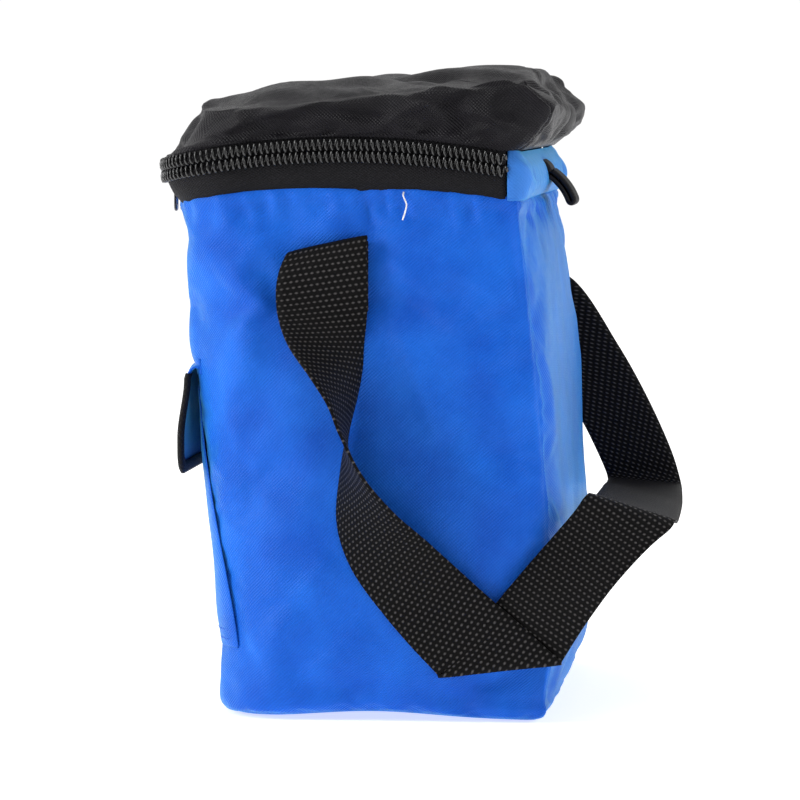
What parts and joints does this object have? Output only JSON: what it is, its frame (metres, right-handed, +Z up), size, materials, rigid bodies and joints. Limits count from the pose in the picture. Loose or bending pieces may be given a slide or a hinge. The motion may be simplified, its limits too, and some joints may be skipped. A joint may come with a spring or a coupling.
{
  "type": "insulated cooler bag",
  "caption": "Soft insulated lunch cooler with a zipped padded lid, front flap pocket, folded rear tab and a webbing shoulder strap.",
  "frame": {"origin": "centre of the bag's underside", "axes": "+X the bag's right side, -Y its front with the pocket, +Y its back with the webbing tab, +Z up"},
  "size_m": [0.2656, 0.227, 0.2795],
  "materials": {
    "shell_nylon": "bright blue coated nylon, fine diagonal weave, soft sheen",
    "lid_nylon": "black coated nylon, fine weave, satin sheen",
    "foam": "closed-cell polyethylene foam, matte",
    "liner": "silver wipe-clean vinyl film",
    "binding_tape": "black woven binding tape",
    "zipper_tape": "matte black knitted tape",
    "zipper_coil": "glossy black nylon coil",
    "slider_metal": "black enamelled die-cast metal",
    "webbing": "black basket-weave polypropylene webbing",
    "hook_and_loop": "black hook-and-loop tape",
    "thread": "bonded nylon thread"
  },
  "bodies": {
    "bag": {"side_wrap": "shell_nylon", "back_panel": "shell_nylon", "base_panel": "shell_nylon", "foam_wrap": "foam", "foam_back": "foam", "foam_base": "foam", "liner_tub": "liner", "mouth_binding": "binding_tape", "zip_tape_lower": "zipper_tape", "zip_coil_lower": "zipper_coil", "hinge_strip": "shell_nylon", "tab_root": "webbing", "strap_anchor_right": "webbing", "strap_anchor_left": "webbing", "strap_stitching": "thread", "pocket_panel": "shell_nylon", "pocket_loop_patch": "hook_and_loop", "pocket_stitching": "thread", "flap_seam": "shell_nylon"},
    "lid": {"lid_top": "lid_nylon", "lid_band": "lid_nylon", "lid_back": "lid_nylon", "lid_foam_top": "foam", "lid_foam_band": "foam", "lid_liner": "liner", "zip_tape_upper": "zipper_tape", "zip_coil_upper": "zipper_coil"},
    "flap": {"pocket_flap": "shell_nylon", "flap_binding": "binding_tape", "flap_hook_patch": "hook_and_loop"},
    "strap": {"shoulder_strap": "webbing"},
    "tab": {"rear_tab": "webbing"},
    "left_slider": {"slider_left": "slider_metal"},
    "right_slider": {"slider_right": "slider_metal"},
    "left_pull": {"pull_left": "slider_metal"},
    "right_pull": {"pull_right": "slider_metal"}
  },
  "joints": [
    {"name": "lid_hinge", "type": "hinge", "parent": "bag", "child": "lid", "pos_m": [0, 0.062, 0.242], "axis": [-1, 0, 0], "range_deg": [0, 115]},
    {"name": "strap_swing", "type": "hinge", "parent": "bag", "child": "strap", "pos_m": [0, -0.029, 0.2048], "axis": [1, 0, 0], "range_deg": [0, 220]},
    {"name": "flap_hinge", "type": "hinge", "parent": "bag", "child": "flap", "pos_m": [0, -0.0877, 0.149], "axis": [-1, 0, 0], "range_deg": [0, 105]},
    {"name": "tab_swing", "type": "hinge", "parent": "bag", "child": "tab", "pos_m": [0, 0.06121, 0.23276], "axis": [-1, 0, 0], "range_deg": [-80, 0]},
    {"name": "left_slider_slide", "type": "slide", "parent": "bag", "child": "left_slider", "axis": [-1, 0, 0], "range_m": [0, 0.055]},
    {"name": "right_slider_slide", "type": "slide", "parent": "bag", "child": "right_slider", "axis": [1, 0, 0], "range_m": [0, 0.055]},
    {"name": "left_pull_hinge", "type": "hinge", "parent": "left_slider", "child": "left_pull", "pos_m": [-0.009, -0.10665, 0.23285], "axis": [-1, 0, 0], "range_deg": [0, 165]},
    {"name": "right_pull_hinge", "type": "hinge", "parent": "right_slider", "child": "right_pull", "pos_m": [0.009, -0.10665, 0.23285], "axis": [-1, 0, 0], "range_deg": [0, 165]}
  ]
}
